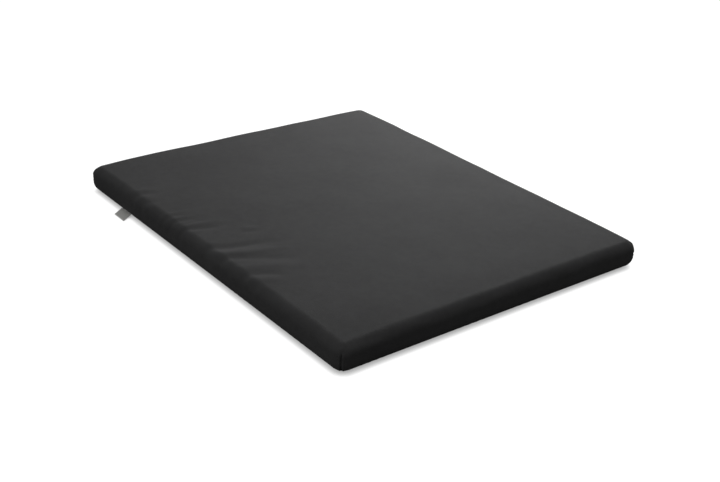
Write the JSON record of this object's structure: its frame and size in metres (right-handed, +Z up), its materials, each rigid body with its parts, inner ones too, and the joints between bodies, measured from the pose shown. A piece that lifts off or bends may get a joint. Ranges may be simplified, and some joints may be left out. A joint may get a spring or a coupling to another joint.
{
  "type": "futon mattress",
  "caption": "Flat rectangular futon mattress with rounded soft edges, darted corners, a fabric cover with a coil zip along one side and a small folded label in the base seam.",
  "frame": {"origin": "middle of the flat underside, on the surface the mattress lies on", "axes": "+X along the length, +Y across the width towards the zip, +Z up through the thickness"},
  "size_m": [1.2, 1.0258, 0.08],
  "materials": {
    "cover_fabric": "matte",
    "casing_fabric": "matte",
    "cotton_felt": "matte",
    "foam": "matte",
    "sewing_thread": "matte",
    "zip_tape": "matte",
    "zip_coil": "satin",
    "zip_stop": "satin",
    "zip_metal": "satin",
    "label_ribbon": "matte"
  },
  "bodies": {
    "mattress": {"cover_top": "cover_fabric", "cover_rear_strip": "cover_fabric", "cover_base": "cover_fabric", "casing_upper": "casing_fabric", "casing_lower": "casing_fabric", "cotton_felt_upper": "cotton_felt", "cotton_felt_lower": "cotton_felt", "foam_core": "foam", "casing_seam_thread": "sewing_thread", "base_seam_thread": "sewing_thread", "rear_seam_thread": "sewing_thread", "corner_seam_thread_front_left": "sewing_thread", "corner_seam_thread_front_right": "sewing_thread", "corner_seam_thread_rear_right": "sewing_thread", "corner_seam_thread_rear_left": "sewing_thread", "zip_stitching_upper": "sewing_thread", "zip_stitching_lower": "sewing_thread", "zip_tape_upper": "zip_tape", "zip_tape_lower": "zip_tape", "zip_coil_upper": "zip_coil", "zip_coil_lower": "zip_coil", "zip_top_stops": "zip_stop", "zip_bottom_stop": "zip_stop"},
    "zip_slider": {"zip_slider_body": "zip_metal"},
    "zip_puller": {"zip_puller": "zip_metal"},
    "label": {"label": "label_ribbon"}
  },
  "joints": [
    {"name": "zip_slide", "type": "slide", "parent": "mattress", "child": "zip_slider", "axis": [-1, 0, 0], "range_m": [0, 1.067], "deforming": ["zip_coil_upper", "zip_coil_lower"]},
    {"name": "puller_flip", "type": "hinge", "parent": "zip_slider", "child": "zip_puller", "pos_m": [0.5335, 0.5038, 0.042], "axis": [0, 0, -1], "range_deg": [0, 180]},
    {"name": "label_flap", "type": "hinge", "parent": "mattress", "child": "label", "pos_m": [-0.4, -0.48709, 0.00539], "axis": [-1, 0, 0], "range_deg": [0, 44]}
  ]
}
